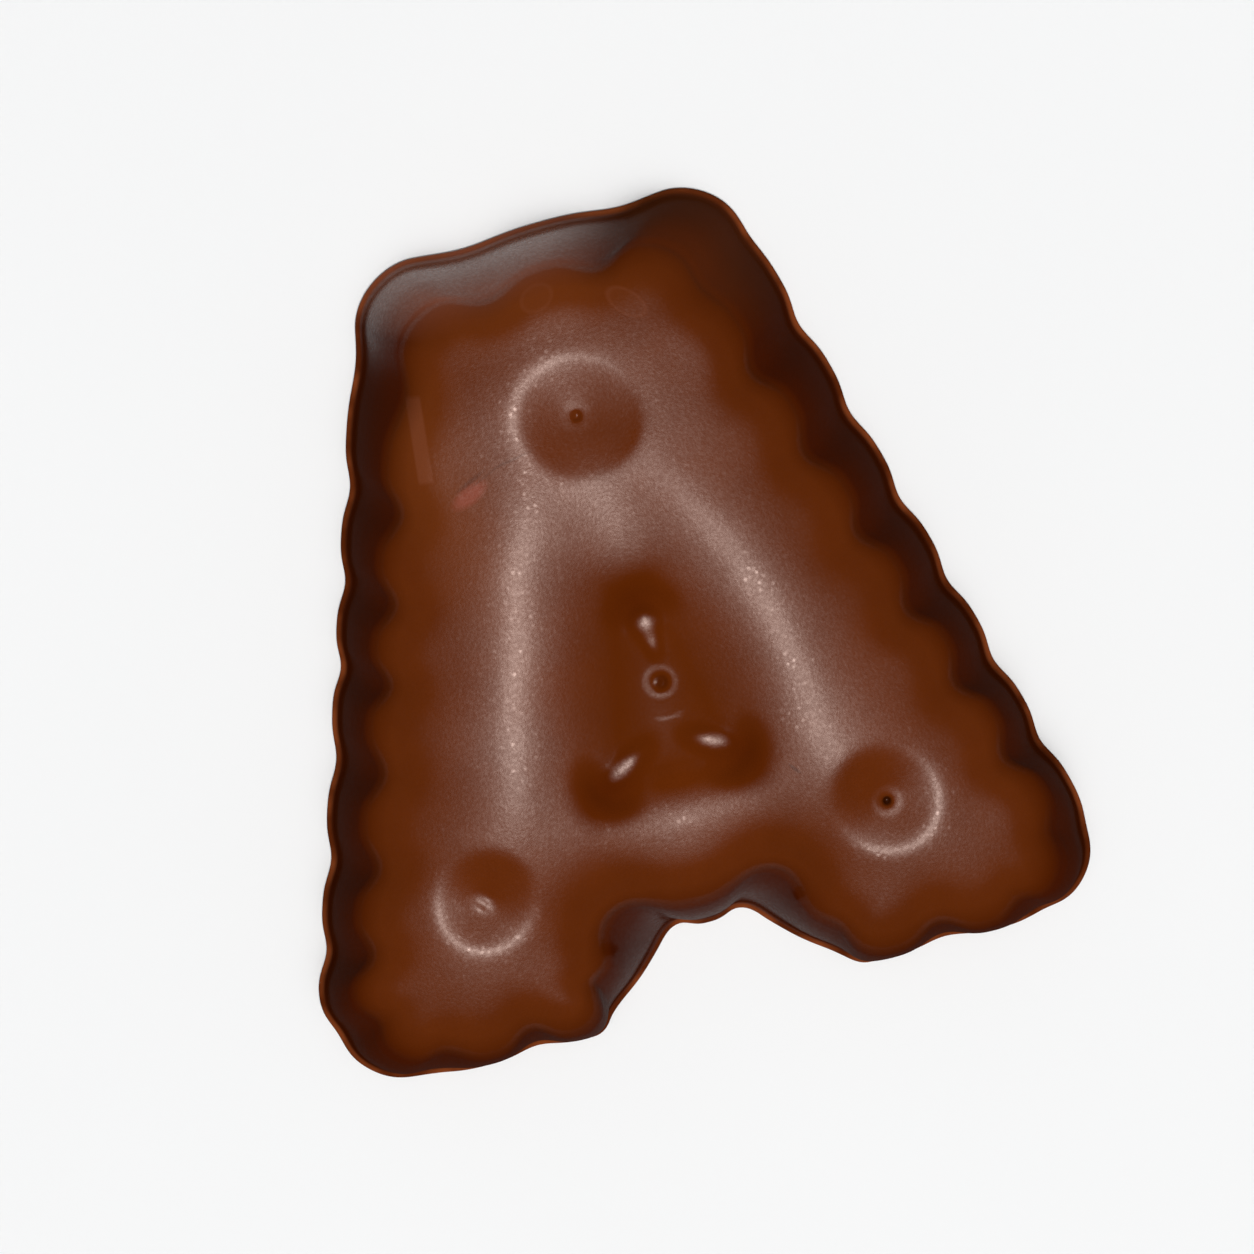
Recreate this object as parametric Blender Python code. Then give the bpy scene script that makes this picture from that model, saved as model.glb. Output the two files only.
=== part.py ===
# Chocolate letter: one chocolate covered biscuit in the shape of a capital A.
# It lies on its flat underside, with the head of the letter towards +Y and the feet towards -Y.
# All dimensions below are in millimetres, and MM turns them into metres.

import math

import bmesh
import bpy
import numpy as np

MM = 0.001
NAME = "chocolate_letter"

# Corners of the outline where the wall meets the resting face: x, y and the radius of the rounding.
# They run counterclockwise from the left foot. The letter leans a little, as a baked one does.
BASE_CORNERS = (
    (-23.0, -21.3, 5.0),
    (-6.9, -21.3, 2.0),
    (-2.6, -16.95, 1.6),
    (2.2, -16.95, 1.6),
    (6.5, -21.3, 2.0),
    (21.9, -21.3, 4.2),
    (10.4, 21.2, 4.0),
    (-9.3, 21.2, 4.2),
)

# The same corners where the wall turns over into the top.
SHOULDER_CORNERS = (
    (-20.6, -19.6, 4.0),
    (-6.5, -19.6, 2.1),
    (-6.0, -14.5, 1.6),
    (4.7, -14.5, 1.6),
    (6.3, -19.7, 2.1),
    (20.3, -19.7, 3.6),
    (7.4, 19.65, 3.6),
    (-7.6, 19.3, 3.8),
)
OUTER_CORNERS = (0, 5, 6, 7)

# The wall from the resting face over the shoulder: how far the outline has gone from the base corners
# to the shoulder corners, an even inset, the height, and how deep the flutes are. A thin lip of coating
# stands out at the bottom.
WALL = (
    (0.00, 0.30, 0.00, 0.13),
    (0.00, 0.00, 0.20, 0.17),
    (0.00, 0.24, 0.45, 0.18),
    (0.10, 0.28, 1.55, 0.21),
    (0.25, 0.12, 2.80, 0.25),
    (0.46, 0.00, 4.52, 0.30),
    (0.72, 0.00, 6.25, 0.40),
    (0.91, 0.00, 7.11, 0.44),
    (1.00, 0.10, 7.50, 0.42),
    (1.00, 0.50, 7.95, 0.35),
    (1.00, 1.00, 8.25, 0.31),
)
RING_SPACING = 0.65
SMALLEST_RADIUS = 0.8

# Middles of the flutes' bulges along each side, from the left foot round to the head.
# The outermost ones of the feet and of the head are the lobes at the corners.
LEFT_FOOT_BULGES_X = (-20.3, -13.2, -8.2)
NOTCH_BULGES = ((-5.3, -16.9), (-0.35, -15.6), (4.6, -16.9))
RIGHT_FOOT_BULGES_X = (8.8, 14.3, 19.9)
RIGHT_SIDE_BULGES_Y = (-14.1, -9.5, -4.8, -0.2, 4.6, 9.7, 14.7)
HEAD_BULGES_X = (7.8, 0.7, -8.0)
LEFT_SIDE_BULGES_Y = (12.2, 7.3, 2.9, -1.1, -6.1, -10.8, -15.2)
VALLEY_SHARPNESS = 0.18
CORNER_CALM = 0.7
CORNER_CALM_REACH = 3.6

# The top is shaped like a skin held at its edge: it bulges over the strokes, most along their crests, and
# is drawn down over the closed counter of the letter. All three are curvatures in 1/mm.
STROKE_BULGE = 0.032
CREST_BULGE = 0.048
HOLLOW_DRAW = 0.10
CREST_LINES = (
    ((-12.6, -14.6), (-11.3, -11.6), (-9.2, -8.5), (-7.3, -2.4), (-4.9, 8.3), (-3.5, 12.6), (-0.4, 15.4)),
    ((12.0, -14.6), (10.4, -11.9), (7.1, -7.0), (7.2, -0.5), (3.4, 9.2), (2.6, 13.0)),
    ((-6.5, -10.9), (5.5, -10.9)),
)
CREST_WIDTH = 2.2
HOLLOW_CORNERS = (
    (-4.2, -8.4, 1.2),
    (4.8, -8.5, 1.2),
    (2.2, 3.8, 0.9),
    (-1.6, 3.8, 0.9),
)
HOLLOW_FADE = 2.5
# The skin bulges less in the head: middle x and y, reach across and along, and the share that is left.
FLAT_HEAD = (-2.0, 14.5, 7.5, 5.8, 0.30)
# A low saddle between the hollow and the head: middle x and y, reach across and along, how much it draws.
SADDLE = (0.7, 6.7, 2.3, 2.4, 0.075)

# The edge of the top rolls over from the wall, over and above the skin.
ROLL_RISE = 0.30
ROLL_REACH = 3.0
ROLL_POWER = 4.5

# Where the top is drawn down: x, y, how wide and how deep. These are the outer corners of the feet and
# of the head, and a dent beside the right foot. The wall follows from the first of the two heights on.
DROPS = (
    (-20.6, -19.6, 4.5, 0.65),
    (20.3, -19.7, 4.3, 0.60),
    (7.4, 19.65, 4.0, 0.50),
    (-7.6, 19.3, 4.0, 0.50),
    (20.6, -16.9, 1.7, 0.90),
)
DROP_HEIGHTS = (4.0, 8.25)

# The skin is worked out by relaxing a lattice of heights.
LATTICE_STEP = 0.3
LATTICE_MARGIN = 1.5
RELAXING_STEPS = 300
HOLD = 16.0

# Round dimples, like shallow funnels: centre x and y, radius of the crest, depth, softness of the crest.
DIMPLES = (
    (-0.1, 11.95, 3.2, 0.55, 0.05),
    (-11.3, -11.65, 2.65, 0.66, 0.06),
    (10.45, -11.9, 2.82, 0.76, 0.06),
)
FUNNEL_TIP = 0.3

# Little knobs, each a small dome on the top: centre x and y, half length, half width, rise, how much it
# bends along and across in 1/mm, turn in degrees.
KNOBS = (
    (0.66, -0.35, 1.10, 0.60, 0.14, 0.06, 0.30, 96.0),
    (0.61, 0.42, 0.88, 0.88, 0.19, 0.16, 0.18, 0.0),
    (-2.31, -6.65, 1.50, 0.84, 0.18, 0.05, 0.28, 30.0),
    (2.31, -6.48, 1.35, 0.82, 0.18, 0.06, 0.28, -24.0),
)
# Crescent pits round the outer ends of the knobs, and a thin ridge round the pin hole in the hollow:
# centre x and y, radius, half width, rise, heading in degrees, spread.
CRESCENTS = (
    (0.61, 0.40, 1.20, 0.70, -0.20, 92.0, 0.8),
    (-2.70, -6.85, 1.35, 0.75, -0.30, 222.0, 0.7),
    (2.65, -6.68, 1.35, 0.75, -0.28, 313.0, 0.7),
    (0.55, -2.85, 1.95, 0.17, 0.009, 271.0, 0.12),
)
# Nubs in the pin holes: centre x and y, half length, half width, height, turn.
NUBS = (
    (0.38, -2.82, 0.30, 0.24, 0.13, 60.0),
    (-11.4, -11.75, 0.50, 0.30, 0.08, -48.0),
    (-0.22, 11.95, 0.16, 0.12, 0.06, 60.0),
)

# Pin holes with a raised rim: centre x and y, hole radius, depth, rim radius, rim height.
PIN_HOLES = (
    (0.55, -2.85, 0.42, 0.16, 0.76, 0.014),
    (10.45, -12.0, 0.22, 0.30, 0.46, 0.036),
    (-0.1, 11.9, 0.24, 0.12, 0.48, 0.012),
)
RIM_WIDTH = 0.30

# Spacing of the grid on the top, and of its finer windows: middle x and y, half widths, spacing.
GRID_STEP = 1.25
WINDOW_STEP = 0.68
FINE_STEP = 0.34
SNAP_SHARE = 0.16
WINDOWS = (
    (0.35, -3.2, 7.0, 7.6, WINDOW_STEP),
    (-0.1, 11.95, 3.9, 3.9, WINDOW_STEP),
    (-11.3, -11.65, 3.3, 3.3, WINDOW_STEP),
    (10.45, -11.9, 3.5, 3.5, WINDOW_STEP),
    (0.6, 0.3, 1.8, 2.2, FINE_STEP),
    (-2.7, -6.9, 2.2, 1.9, FINE_STEP),
    (2.6, -6.7, 2.2, 1.9, FINE_STEP),
    (0.55, -2.85, 1.3, 1.3, FINE_STEP),
    (10.45, -12.0, 1.0, 1.0, FINE_STEP),
    (-0.1, 11.9, 0.9, 0.9, FINE_STEP),
    (-11.4, -11.75, 0.8, 0.8, FINE_STEP),
)


def unit(dx, dy):
    length = math.hypot(dx, dy)
    return dx / length, dy / length


def inset_corners(corners, distance):
    """Move every side of the outline inwards by distance, and round the corners to suit."""
    moved = []
    for i, (x, y, radius) in enumerate(corners):
        before = corners[i - 1]
        after = corners[(i + 1) % len(corners)]
        ax, ay = unit(x - before[0], y - before[1])
        bx, by = unit(after[0] - x, after[1] - y)
        turn = ax * by - ay * bx
        shift_x = distance * (ax - bx) / turn
        shift_y = distance * (ay - by) / turn
        grown = radius - math.copysign(distance, turn)
        moved.append((x - shift_x, y - shift_y, max(grown, SMALLEST_RADIUS)))
    return moved


def corner_arc(before, corner, after):
    """Centre, radius, first angle and sweep of the arc that rounds a corner."""
    ax, ay = unit(corner[0] - before[0], corner[1] - before[1])
    bx, by = unit(after[0] - corner[0], after[1] - corner[1])
    sweep = math.atan2(ax * by - ay * bx, ax * bx + ay * by)
    side = math.copysign(1.0, sweep)
    radius = corner[2]
    reach = radius * math.tan(abs(sweep) / 2)
    centre_x = corner[0] - ax * reach - ay * radius * side
    centre_y = corner[1] - ay * reach + ax * radius * side
    first = math.atan2(-ax * side, ay * side)
    return centre_x, centre_y, radius, first, sweep


def outline_counts(corners, spacing):
    """Number of steps on each corner's arc and on the straight that follows it."""
    arcs = []
    straights = []
    for i, corner in enumerate(corners):
        after = corners[(i + 1) % len(corners)]
        arc = corner_arc(corners[i - 1], corner, after)
        next_arc = corner_arc(corner, after, corners[(i + 2) % len(corners)])
        end_x = arc[0] + arc[2] * math.cos(arc[3] + arc[4])
        end_y = arc[1] + arc[2] * math.sin(arc[3] + arc[4])
        start_x = next_arc[0] + next_arc[2] * math.cos(next_arc[3])
        start_y = next_arc[1] + next_arc[2] * math.sin(next_arc[3])
        arcs.append(max(4, round(arc[2] * abs(arc[4]) / spacing)))
        straights.append(max(2, round(math.hypot(start_x - end_x, start_y - end_y) / spacing)))
    return arcs, straights


def outline_points(corners, counts):
    """Points round the rounded outline, always the same number for the same counts."""
    arcs, straights = counts
    points = []
    for i, corner in enumerate(corners):
        after = corners[(i + 1) % len(corners)]
        cx, cy, radius, first, sweep = corner_arc(corners[i - 1], corner, after)
        for k in range(arcs[i] + 1):
            angle = first + sweep * k / arcs[i]
            points.append((cx + radius * math.cos(angle), cy + radius * math.sin(angle)))
        next_arc = corner_arc(corner, after, corners[(i + 2) % len(corners)])
        start = points[-1]
        end_x = next_arc[0] + next_arc[2] * math.cos(next_arc[3])
        end_y = next_arc[1] + next_arc[2] * math.sin(next_arc[3])
        for k in range(1, straights[i]):
            part = k / straights[i]
            points.append((start[0] + (end_x - start[0]) * part, start[1] + (end_y - start[1]) * part))
    return np.array(points)


def mixed_corners(part):
    """Corners part of the way from the base outline to the shoulder outline."""
    pairs = zip(BASE_CORNERS, SHOULDER_CORNERS)
    return [tuple(low + (high - low) * part for low, high in zip(a, b)) for a, b in pairs]


def outward(points):
    """Unit vectors that point out of a closed counterclockwise outline."""
    along = np.roll(points, -1, axis=0) - np.roll(points, 1, axis=0)
    along /= np.linalg.norm(along, axis=1)[:, None]
    return np.column_stack((along[:, 1], -along[:, 0]))


def side_point(corners, index, value, axis):
    """Point on the side after a corner where x (axis 0) or y (axis 1) has the given value."""
    start = corners[index]
    end = corners[(index + 1) % len(corners)]
    part = (value - start[axis]) / (end[axis] - start[axis])
    return start[0] + (end[0] - start[0]) * part, start[1] + (end[1] - start[1]) * part


def flute_wave(points):
    """Height of the flutes at each point of the outline, from about -1.2 to 0.8."""
    middle = mixed_corners(0.5)
    bulges = [side_point(middle, 0, x, 0) for x in LEFT_FOOT_BULGES_X]
    bulges += list(NOTCH_BULGES)
    bulges += [side_point(middle, 4, x, 0) for x in RIGHT_FOOT_BULGES_X]
    bulges += [side_point(middle, 5, y, 1) for y in RIGHT_SIDE_BULGES_Y]
    bulges += [side_point(middle, 6, x, 0) for x in HEAD_BULGES_X]
    bulges += [side_point(middle, 7, y, 1) for y in LEFT_SIDE_BULGES_Y]
    steps = np.linalg.norm(np.roll(points, -1, axis=0) - points, axis=1)
    along = np.concatenate(([0.0], np.cumsum(steps)))
    length = along[-1]
    places = sorted(along[np.argmin(np.hypot(points[:, 0] - x, points[:, 1] - y))] for x, y in bulges)
    knots = [places[-1] - length] + places + [places[0] + length]
    phase = 2 * math.pi * np.interp(along[:-1], knots, range(len(knots)))
    wave = np.cos(phase) - VALLEY_SHARPNESS * np.cos(2 * phase)
    calm = np.zeros(len(points))
    for i in OUTER_CORNERS:
        away = np.hypot(points[:, 0] - middle[i][0], points[:, 1] - middle[i][1])
        calm = np.maximum(calm, np.exp(-(away / CORNER_CALM_REACH) ** 2))
    return wave * (1 - CORNER_CALM * calm)


def square_distance(x, y, start, end):
    """Square of the distance from each place to a stretch of line."""
    dx, dy = end[0] - start[0], end[1] - start[1]
    part = np.clip(((x - start[0]) * dx + (y - start[1]) * dy) / (dx * dx + dy * dy), 0.0, 1.0)
    return (x - start[0] - dx * part) ** 2 + (y - start[1] - dy * part) ** 2


def distance_to_lines(x, y, lines):
    stretches = [pair for line in lines for pair in zip(line, line[1:])]
    return np.sqrt(np.min([square_distance(x, y, *pair) for pair in stretches], axis=0))


def distance_inside(x, y, polygon):
    """Distance from each place to a closed polygon, positive inside it."""
    nearest = np.full(x.shape, 1e9)
    inside = np.zeros(x.shape, bool)
    for start, end in zip(polygon, np.roll(polygon, -1, axis=0)):
        nearest = np.minimum(nearest, square_distance(x, y, start, end))
        if start[1] != end[1]:
            crossing = start[0] + (end[0] - start[0]) * (y - start[1]) / (end[1] - start[1])
            inside ^= ((start[1] > y) != (end[1] > y)) & (x < crossing)
    return np.where(inside, np.sqrt(nearest), -np.sqrt(nearest))


def smooth_step(value):
    value = np.clip(value, 0.0, 1.0)
    return value * value * (3 - 2 * value)


class Skin:
    """The height of a skin that is held along the outline and bulges or is drawn down inside it."""

    def __init__(self, outline):
        self.low = outline.min(axis=0) - LATTICE_MARGIN
        high = outline.max(axis=0) + LATTICE_MARGIN
        xs = np.arange(self.low[0], high[0], LATTICE_STEP)
        ys = np.arange(self.low[1], high[1], LATTICE_STEP)
        x, y = np.meshgrid(xs, ys, indexing="ij")
        inside = distance_inside(x, y, outline)
        share = smooth_step(hollow_distance(x, y) / HOLLOW_FADE + 0.5)
        crest = np.exp(-(distance_to_lines(x, y, CREST_LINES) / CREST_WIDTH) ** 2)
        cx, cy, half_x, half_y, left = FLAT_HEAD
        flat = (1 - left) * np.exp(-((x - cx) / half_x) ** 4 - ((y - cy) / half_y) ** 4)
        bulge = (STROKE_BULGE + CREST_BULGE * crest) * (1 - flat)
        cx, cy, half_x, half_y, draw = SADDLE
        bulge -= draw * np.exp(-((x - cx) / half_x) ** 2 - ((y - cy) / half_y) ** 2)
        push = bulge - (HOLLOW_DRAW + bulge) * share
        hold = HOLD * np.clip(0.5 - inside / (2 * LATTICE_STEP), 0.0, 1.0)
        self.field = self.relaxed(push * LATTICE_STEP ** 2, 4.0 + hold)

    @staticmethod
    def relaxed(push, stiffness):
        height = np.zeros(push.shape)
        i, j = np.indices(push.shape)
        odd = ((i + j) % 2 == 1)[1:-1, 1:-1]
        pull = 2.0 / (1.0 + 5.0 / max(push.shape))
        centre = height[1:-1, 1:-1]
        for _ in range(RELAXING_STEPS):
            for chosen in (odd, ~odd):
                around = height[2:, 1:-1] + height[:-2, 1:-1] + height[1:-1, 2:] + height[1:-1, :-2]
                change = (around + push[1:-1, 1:-1]) / stiffness[1:-1, 1:-1] - centre
                centre += np.where(chosen, pull * change, 0.0)
        return height

    def at(self, x, y):
        u = np.clip((x - self.low[0]) / LATTICE_STEP, 1, self.field.shape[0] - 3)
        v = np.clip((y - self.low[1]) / LATTICE_STEP, 1, self.field.shape[1] - 3)
        i, j = u.astype(int), v.astype(int)
        along = smooth_weights(u - i)
        across = smooth_weights(v - j)
        pairs = [(a, b) for a in range(4) for b in range(4)]
        return sum(along[a] * across[b] * self.field[i + a - 1, j + b - 1] for a, b in pairs)


def smooth_weights(t):
    """Weights of four neighbours in a row, for a curve without kinks."""
    return ((1 - t) ** 3 / 6, (3 * t ** 3 - 6 * t ** 2 + 4) / 6,
            (-3 * t ** 3 + 3 * t ** 2 + 3 * t + 1) / 6, t ** 3 / 6)


def hollow_distance(x, y):
    """Distance inside the corners of the hollow."""
    counts = outline_counts(HOLLOW_CORNERS, 0.4)
    return distance_inside(x, y, outline_points(HOLLOW_CORNERS, counts))


def dimple_height(x, y, cx, cy, radius, depth, softness):
    away = np.sqrt((x - cx) ** 2 + (y - cy) ** 2 + FUNNEL_TIP ** 2) / radius
    return -depth * softness * np.log1p(np.exp((1 - away) / softness))


def turned(x, y, cx, cy, turn):
    """Places measured from a centre, along and across a heading."""
    cos, sin = math.cos(math.radians(turn)), math.sin(math.radians(turn))
    return (x - cx) * cos + (y - cy) * sin, (y - cy) * cos - (x - cx) * sin


def bump_height(x, y, cx, cy, half_length, half_width, height, turn):
    along, across = turned(x, y, cx, cy, turn)
    return height * np.exp(-(along / half_length) ** 2 - (across / half_width) ** 2)


def knob_share(x, y, cx, cy, half_length, half_width, turn):
    along, across = turned(x, y, cx, cy, turn)
    return np.exp(-((along / half_length) ** 2 + (across / half_width) ** 2) ** 1.5)


def with_knob(x, y, height, centre_height, knob):
    """The height with a small dome blended into it round the knob's centre."""
    cx, cy, half_length, half_width, rise, bend_along, bend_across, turn = knob
    along, across = turned(x, y, cx, cy, turn)
    dome = centre_height + rise - bend_along * along ** 2 / 2 - bend_across * across ** 2 / 2
    return height + (dome - height) * knob_share(x, y, cx, cy, half_length, half_width, turn)


def crescent_height(x, y, cx, cy, radius, half_width, rise, heading, spread):
    along, across = turned(x, y, cx, cy, heading)
    away = np.hypot(along, across)
    aside = 1 - along / np.maximum(away, 1e-6)
    return rise * np.exp(-((away - radius) / half_width) ** 2 - (aside / spread) ** 2)


def pin_hole_height(x, y, cx, cy, radius, depth, rim_radius, rim_height):
    away = np.hypot(x - cx, y - cy)
    rim = np.exp(-((away - rim_radius) / RIM_WIDTH) ** 2)
    return rim_height * rim - depth * np.exp(-(away / radius) ** 4)


def drop(x, y):
    """How far the top is drawn down at each place."""
    drawn = np.zeros(x.shape)
    for cx, cy, reach, depth in DROPS:
        drawn += depth * np.exp(-((x - cx) ** 2 + (y - cy) ** 2) / reach ** 2)
    return drawn


def ring_height(points, height, skin):
    """Heights of a wall ring's points, which follow the skin and the drops."""
    x, y = points[:, 0], points[:, 1]
    share = smooth_step((height - DROP_HEIGHTS[0]) / (DROP_HEIGHTS[1] - DROP_HEIGHTS[0]))
    return height + skin.at(x, y) - share * drop(x, y)


def open_top(x, y, edge, skin):
    """Height of the top above its last ring, before knobs and pin holes."""
    part = np.clip(distance_inside(x, y, edge) / ROLL_REACH, 0.0, 1.0)
    height = skin.at(x, y) - drop(x, y) + ROLL_RISE * (1 - (1 - part) ** ROLL_POWER)
    for dimple in DIMPLES:
        height += dimple_height(x, y, *dimple)
    for crescent in CRESCENTS:
        height += crescent_height(x, y, *crescent)
    return height


def top_height(x, y, edge, skin):
    """Height of the top above the resting face at each place inside the last ring."""
    height = open_top(x, y, edge, skin)
    middles = open_top(np.array([k[0] for k in KNOBS]), np.array([k[1] for k in KNOBS]), edge, skin)
    for knob, middle in zip(KNOBS, middles):
        height = with_knob(x, y, height, middle, knob)
    for nub in NUBS:
        height += bump_height(x, y, *nub)
    for hole in PIN_HOLES:
        height += pin_hole_height(x, y, *hole)
    return WALL[-1][2] + height


def ring_points(ring, counts, wave):
    part, inset, height, flute = ring
    points = outline_points(inset_corners(mixed_corners(part), inset), counts)
    return points + outward(points) * (flute * wave)[:, None]


def next_ring(bm, ring):
    """Extrude a closed ring of vertices and return the new one in the same order."""
    edges = [bm.edges.get((a, b)) for a, b in zip(ring, ring[1:] + ring[:1])]
    made = bmesh.ops.extrude_edge_only(bm, edges=edges)["geom"]
    new = {v for v in made if isinstance(v, bmesh.types.BMVert)}
    return [next(e.other_vert(v) for e in v.link_edges if e.other_vert(v) in new) for v in ring]


def cut_grid(bm, faces, low, high, step):
    """Cut the faces with planes across x and y at every step between low and high."""
    done = list(faces)
    for axis in (0, 1):
        normal = (1, 0, 0) if axis == 0 else (0, 1, 0)
        count = round((high[axis] - low[axis]) / step)
        ahead, done = done, []
        for k in range(count + 1):
            place = low[axis] + (high[axis] - low[axis]) * k / count
            edges = {e for f in ahead for e in f.edges}
            verts = {v for f in ahead for v in f.verts}
            cut = bmesh.ops.bisect_plane(
                bm, geom=ahead + list(edges) + list(verts), dist=SNAP_SHARE * step,
                plane_co=[c * place for c in normal], plane_no=normal)
            ahead = []
            for item in cut["geom"]:
                if isinstance(item, bmesh.types.BMFace):
                    passed = item.calc_center_median()[axis] < place
                    (done if passed else ahead).append(item)
            if not ahead:
                break
        done += ahead
    return done


def refine(bm, faces, cx, cy, half_x, half_y, step):
    """Cut a finer grid into the part of the top round a place."""
    chosen, rest = [], []
    for face in faces:
        middle = face.calc_center_median()
        near = abs(middle.x - cx) < half_x and abs(middle.y - cy) < half_y
        (chosen if near else rest).append(face)
    return rest + cut_grid(bm, chosen, (cx - half_x, cy - half_y), (cx + half_x, cy + half_y), step)


def build_letter():
    counts = outline_counts(BASE_CORNERS, RING_SPACING)
    wave = flute_wave(outline_points(mixed_corners(0.5), counts))
    rings = [ring_points(station, counts, wave) for station in WALL]
    skin = Skin(rings[-1])
    bm = bmesh.new()

    bmesh.ops.create_circle(bm, cap_ends=True, radius=1.0, segments=len(wave))
    ring = list(bm.verts)
    for vert, (x, y) in zip(ring, rings[0]):
        vert.co = (x, y, 0.0)
    for station, points in zip(WALL[1:], rings[1:]):
        ring = next_ring(bm, ring)
        for vert, (x, y), z in zip(ring, points, ring_height(points, station[2], skin)):
            vert.co = (x, y, z)
    top = bm.faces.new(ring)

    # The top starts flat, is cut into a grid, and is then lifted to its relief.
    faces = cut_grid(bm, [top], rings[-1].min(axis=0), rings[-1].max(axis=0), GRID_STEP)
    for window in WINDOWS:
        faces = refine(bm, faces, *window)

    top_faces = set(faces)
    verts = {v for f in faces for v in f.verts}
    inner = [v for v in verts if all(f in top_faces for f in v.link_faces)]
    places = np.array([(v.co.x, v.co.y) for v in inner])
    for vert, height in zip(inner, top_height(places[:, 0], places[:, 1], rings[-1], skin)):
        vert.co.z = height

    bmesh.ops.triangulate(bm, faces=bm.faces[:], quad_method="BEAUTY", ngon_method="BEAUTY")
    bmesh.ops.recalc_face_normals(bm, faces=bm.faces[:])
    middle = (np.min(rings, axis=(0, 1)) + np.max(rings, axis=(0, 1))) / 2
    bmesh.ops.translate(bm, verts=bm.verts[:], vec=(-middle[0], -middle[1], 0.0))
    bmesh.ops.scale(bm, verts=bm.verts[:], vec=(MM, MM, MM))
    mesh = bpy.data.meshes.new(NAME)
    bm.to_mesh(mesh)
    bm.free()
    mesh.shade_smooth()
    return mesh


def milk_chocolate():
    material = bpy.data.materials.new("milk_chocolate")
    material.use_nodes = True
    shader = material.node_tree.nodes["Principled BSDF"]
    shader.inputs["Base Color"].default_value = (0.12, 0.026, 0.005, 1.0)
    shader.inputs["Roughness"].default_value = 0.36
    shader.inputs["Metallic"].default_value = 0.0
    return material


def main():
    for thing in list(bpy.data.objects):
        bpy.data.objects.remove(thing, do_unlink=True)
    letter = bpy.data.objects.new(NAME, build_letter())
    letter.data.materials.append(milk_chocolate())
    bpy.context.collection.objects.link(letter)
    print(NAME, "triangles:", len(letter.data.polygons))


main()
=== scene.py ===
import math

import bmesh
import bpy
import numpy as np
from mathutils import Matrix, Vector


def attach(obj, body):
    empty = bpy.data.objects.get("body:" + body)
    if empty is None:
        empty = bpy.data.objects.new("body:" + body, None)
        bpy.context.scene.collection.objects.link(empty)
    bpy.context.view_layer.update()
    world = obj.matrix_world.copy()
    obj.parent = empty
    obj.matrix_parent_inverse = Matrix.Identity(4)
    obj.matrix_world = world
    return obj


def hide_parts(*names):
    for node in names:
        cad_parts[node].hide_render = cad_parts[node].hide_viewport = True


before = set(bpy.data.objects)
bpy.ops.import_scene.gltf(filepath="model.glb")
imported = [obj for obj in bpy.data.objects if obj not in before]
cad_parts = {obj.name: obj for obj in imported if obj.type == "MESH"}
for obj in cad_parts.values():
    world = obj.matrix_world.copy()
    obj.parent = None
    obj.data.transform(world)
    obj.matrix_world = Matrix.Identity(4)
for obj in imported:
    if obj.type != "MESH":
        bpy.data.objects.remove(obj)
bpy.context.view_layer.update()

# The chocolate letter lies on its flat underside, with its head towards +Y and its feet towards -Y.
# Its shape is worked out in millimetres, and MM turns it into metres.
MM = 0.001
NODE = "chocolate_letter"

# Corners of the outline where the wall meets the resting face: x, y and the radius of the rounding.
BASE_CORNERS = (
    (-23.0, -21.3, 5.0),
    (-6.9, -21.3, 2.0),
    (-2.6, -16.95, 1.6),
    (2.2, -16.95, 1.6),
    (6.5, -21.3, 2.0),
    (21.9, -21.3, 4.2),
    (10.4, 21.2, 4.0),
    (-9.3, 21.2, 4.2),
)

# The same corners where the wall turns over into the top.
SHOULDER_CORNERS = (
    (-20.6, -19.6, 4.0),
    (-6.5, -19.6, 2.1),
    (-6.0, -14.5, 1.6),
    (4.7, -14.5, 1.6),
    (6.3, -19.7, 2.1),
    (20.3, -19.7, 3.6),
    (7.4, 19.65, 3.6),
    (-7.6, 19.3, 3.8),
)
OUTER_CORNERS = (0, 5, 6, 7)

# The wall from the resting face over the shoulder: how far the outline has gone from the base corners
# to the shoulder corners, an even inset, the height, and how deep the flutes are. A thin lip of coating
# stands out at the bottom.
WALL = (
    (0.00, 0.30, 0.00, 0.13),
    (0.00, 0.08, 0.07, 0.15),
    (0.00, 0.00, 0.20, 0.17),
    (0.00, 0.07, 0.33, 0.17),
    (0.00, 0.24, 0.42, 0.18),
    (0.03, 0.33, 0.80, 0.19),
    (0.10, 0.28, 1.55, 0.21),
    (0.25, 0.12, 2.80, 0.25),
    (0.46, 0.00, 4.52, 0.30),
    (0.64, 0.00, 5.83, 0.37),
    (0.79, 0.00, 6.60, 0.42),
    (0.91, 0.00, 7.11, 0.44),
    (1.00, 0.06, 7.43, 0.43),
    (1.00, 0.26, 7.72, 0.39),
    (1.00, 0.58, 8.00, 0.34),
    (1.00, 1.00, 8.25, 0.31),
)
# Smooth rings between two of these stations, the length of a step round a ring, the fewest steps of an arc
# and of a straight, and the smallest radius that a corner keeps when it is inset.
RINGS_BETWEEN = 2
RING_SPACING = 0.19
FEWEST_ARC_STEPS = 4
FEWEST_STRAIGHT_STEPS = 2
SMALLEST_RADIUS = 0.8

# Middles of the flutes' bulges on the left foot, the right foot, the right side, the head and the left
# side: number of the corner where that side starts, 0 for places in x or 1 for places in y, and the places.
# The outermost ones of the feet and of the head are the lobes at the corners.
SIDE_BULGES = (
    (0, 0, (-20.3, -13.2, -8.2)),
    (4, 0, (8.8, 14.3, 19.9)),
    (5, 1, (-14.1, -9.5, -4.8, -0.2, 4.6, 9.7, 14.7)),
    (6, 0, (7.8, 0.7, -8.0)),
    (7, 1, (12.2, 7.3, 2.9, -1.1, -6.1, -10.8, -15.2)),
)
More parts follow.
